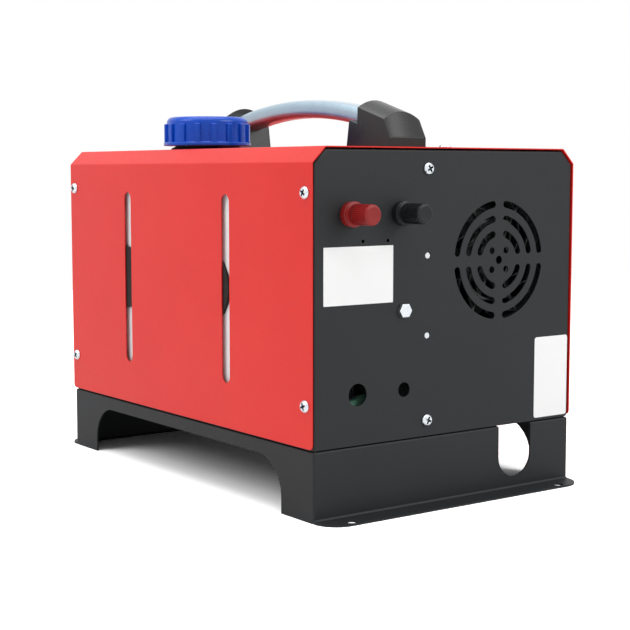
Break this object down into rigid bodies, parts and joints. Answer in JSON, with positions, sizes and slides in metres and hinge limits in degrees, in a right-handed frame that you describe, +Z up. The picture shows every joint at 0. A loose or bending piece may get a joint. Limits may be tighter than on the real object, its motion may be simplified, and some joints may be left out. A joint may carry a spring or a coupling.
{
  "type": "diesel heater",
  "caption": "Portable all-in-one diesel air heater in a red folded sheet case on a black stand, with a side fuel tank, a carry handle, a turning louvred outlet and power posts.",
  "frame": {"origin": "on the floor, at the centre of the footprint box under the stand", "axes": "+Z up, +Y towards the rear panel with the fan intake and the power posts, -Y towards the warm air outlet, +X towards the side with the fuel tank"},
  "size_m": [0.266, 0.4364, 0.3199],
  "materials": {
    "red_coat": "powder coat, satin",
    "black_coat": "fine powder coat, matt",
    "galvanised_sheet": "galvanised sheet",
    "zinc_plate": "bright zinc plate",
    "satin_tube": "satin anodised",
    "foot_plastic": "moulded, satin",
    "tank_plastic": "natural polyethylene, translucent white",
    "foam_pad": "closed cell foam",
    "black_rubber": "moulded rubber",
    "blue_plastic": "moulded, semi gloss",
    "pump_steel": "turned steel",
    "green_hose": "clear green fuel hose",
    "clear_line": "natural nylon line",
    "red_plastic": "moulded, knurled",
    "black_post_plastic": "moulded, knurled",
    "jacket_plastic": "moulded, glass filled",
    "fan_plastic": "moulded",
    "cast_aluminium": "as cast",
    "vent_plastic": "moulded, fine texture",
    "panel_plastic": "moulded, fine texture",
    "dark_lens": "clear over dark",
    "board_green": "coated board",
    "button_plastic": "moulded grey"
  },
  "bodies": {
    "root": {"outer_shell": "red_coat", "stand": "black_coat", "rear_panel": "black_coat", "front_panel": "black_coat", "chassis_floor": "galvanised_sheet", "partition": "galvanised_sheet", "heater_shelf": "galvanised_sheet", "pump_bolt": "zinc_plate", "handle_tube": "satin_tube", "handle_foot_rear": "foot_plastic", "handle_foot_front": "foot_plastic", "fuel_tank": "tank_plastic", "partition_plug_lower": "tank_plastic", "partition_plug_upper": "tank_plastic", "tank_pad_rear": "foam_pad", "tank_pad_front": "foam_pad", "neck_grommet": "black_rubber", "pump_holder": "black_rubber", "heater_gasket": "black_rubber", "fuel_pump": "pump_steel", "combustion_tube": "pump_steel", "blower_motor": "pump_steel", "glow_plug": "pump_steel", "suction_hose": "green_hose", "fuel_line": "clear_line", "positive_post": "red_plastic", "negative_post": "black_post_plastic", "lower_jacket": "jacket_plastic", "upper_jacket": "jacket_plastic", "outlet_nozzle": "jacket_plastic", "control_unit": "jacket_plastic", "intake_guard": "fan_plastic", "heat_exchanger": "cast_aluminium", "blower_housing": "cast_aluminium", "vent_collar": "vent_plastic", "control_case": "panel_plastic", "control_lens": "dark_lens", "control_board": "board_green"},
    "rotor": {"motor_shaft": "pump_steel", "fan_wheel": "fan_plastic", "impeller": "cast_aluminium"},
    "cap_seal": {"cap_seal": "black_rubber"},
    "filler_cap": {"filler_cap": "blue_plastic"},
    "positive_washer": {"positive_washer": "zinc_plate"},
    "positive_knob": {"positive_knob": "red_plastic"},
    "negative_washer": {"negative_washer": "zinc_plate"},
    "negative_knob": {"negative_knob": "black_post_plastic"},
    "vent_ring": {"vent_rotor": "vent_plastic"},
    "louvre_1": {"vent_louvre_1": "vent_plastic"},
    "louvre_2": {"vent_louvre_2": "vent_plastic"},
    "louvre_3": {"vent_louvre_3": "vent_plastic"},
    "louvre_4": {"vent_louvre_4": "vent_plastic"},
    "louvre_5": {"vent_louvre_5": "vent_plastic"},
    "button_up": {"button_up": "button_plastic"},
    "button_down": {"button_down": "button_plastic"},
    "button_menu": {"button_menu": "button_plastic"},
    "button_ok": {"button_ok": "button_plastic"},
    "button_power": {"button_power": "button_plastic"}
  },
  "joints": [
    {"name": "rotor_spin", "type": "hinge", "parent": "root", "child": "rotor", "pos_m": [-0.0511, 0.12, 0.188], "axis": [0, 1, 0], "continuous": true},
    {"name": "cap_lift", "type": "slide", "parent": "root", "child": "cap_seal", "axis": [0, 0, 1], "range_m": [0, 0.01]},
    {"name": "cap_turn", "type": "hinge", "parent": "cap_seal", "child": "filler_cap", "pos_m": [0.0795, -0.036, 0.29], "axis": [0, 0, 1], "range_deg": [0, 720]},
    {"name": "positive_washer_slide", "type": "slide", "parent": "root", "child": "positive_washer", "axis": [0, 1, 0], "range_m": [0, 0.005]},
    {"name": "positive_knob_turn", "type": "hinge", "parent": "positive_washer", "child": "positive_knob", "pos_m": [0.0982, 0.21, 0.2268], "axis": [0, 1, 0], "range_deg": [0, 1800]},
    {"name": "negative_washer_slide", "type": "slide", "parent": "root", "child": "negative_washer", "axis": [0, 1, 0], "range_m": [0, 0.005]},
    {"name": "negative_knob_turn", "type": "hinge", "parent": "negative_washer", "child": "negative_knob", "pos_m": [0.0494, 0.21, 0.2268], "axis": [0, 1, 0], "range_deg": [0, 1800]},
    {"name": "vent_ring_turn", "type": "hinge", "parent": "root", "child": "vent_ring", "pos_m": [-0.0511, -0.2, 0.188], "axis": [0, 1, 0], "continuous": true},
    {"name": "louvre_1_tilt", "type": "hinge", "parent": "vent_ring", "child": "louvre_1", "pos_m": [-0.0511, -0.2073, 0.161], "axis": [1, 0, 0], "range_deg": [-70, 70]},
    {"name": "louvre_2_tilt", "type": "hinge", "parent": "vent_ring", "child": "louvre_2", "pos_m": [-0.0511, -0.2073, 0.1745], "axis": [1, 0, 0], "range_deg": [-70, 70]},
    {"name": "louvre_3_tilt", "type": "hinge", "parent": "vent_ring", "child": "louvre_3", "pos_m": [-0.0511, -0.2073, 0.188], "axis": [1, 0, 0], "range_deg": [-70, 70]},
    {"name": "louvre_4_tilt", "type": "hinge", "parent": "vent_ring", "child": "louvre_4", "pos_m": [-0.0511, -0.2073, 0.2015], "axis": [1, 0, 0], "range_deg": [-70, 70]},
    {"name": "louvre_5_tilt", "type": "hinge", "parent": "vent_ring", "child": "louvre_5", "pos_m": [-0.0511, -0.2073, 0.215], "axis": [1, 0, 0], "range_deg": [-70, 70]},
    {"name": "button_up_press", "type": "slide", "parent": "root", "child": "button_up", "axis": [0, 1, 0], "range_m": [0, 0.001], "stiffness_N_per_m": 500, "springref_m": -0.001},
    {"name": "button_down_press", "type": "slide", "parent": "root", "child": "button_down", "axis": [0, 1, 0], "range_m": [0, 0.001], "stiffness_N_per_m": 500, "springref_m": -0.001},
    {"name": "button_menu_press", "type": "slide", "parent": "root", "child": "button_menu", "axis": [0, 1, 0], "range_m": [0, 0.001], "stiffness_N_per_m": 500, "springref_m": -0.001},
    {"name": "button_ok_press", "type": "slide", "parent": "root", "child": "button_ok", "axis": [0, 1, 0], "range_m": [0, 0.001], "stiffness_N_per_m": 500, "springref_m": -0.001},
    {"name": "button_power_press", "type": "slide", "parent": "root", "child": "button_power", "axis": [0, 1, 0], "range_m": [0, 0.001], "stiffness_N_per_m": 500, "springref_m": -0.001}
  ],
  "couplings": [
    {"joint": "cap_lift", "follows": "cap_turn", "m_per_rad": 0.00079577},
    {"joint": "positive_washer_slide", "follows": "positive_knob_turn", "m_per_rad": 0.00015915},
    {"joint": "negative_washer_slide", "follows": "negative_knob_turn", "m_per_rad": 0.00015915},
    {"joint": "louvre_1_tilt", "follows": "louvre_3_tilt", "ratio": 1},
    {"joint": "louvre_2_tilt", "follows": "louvre_3_tilt", "ratio": 1},
    {"joint": "louvre_4_tilt", "follows": "louvre_3_tilt", "ratio": 1},
    {"joint": "louvre_5_tilt", "follows": "louvre_3_tilt", "ratio": 1}
  ]
}
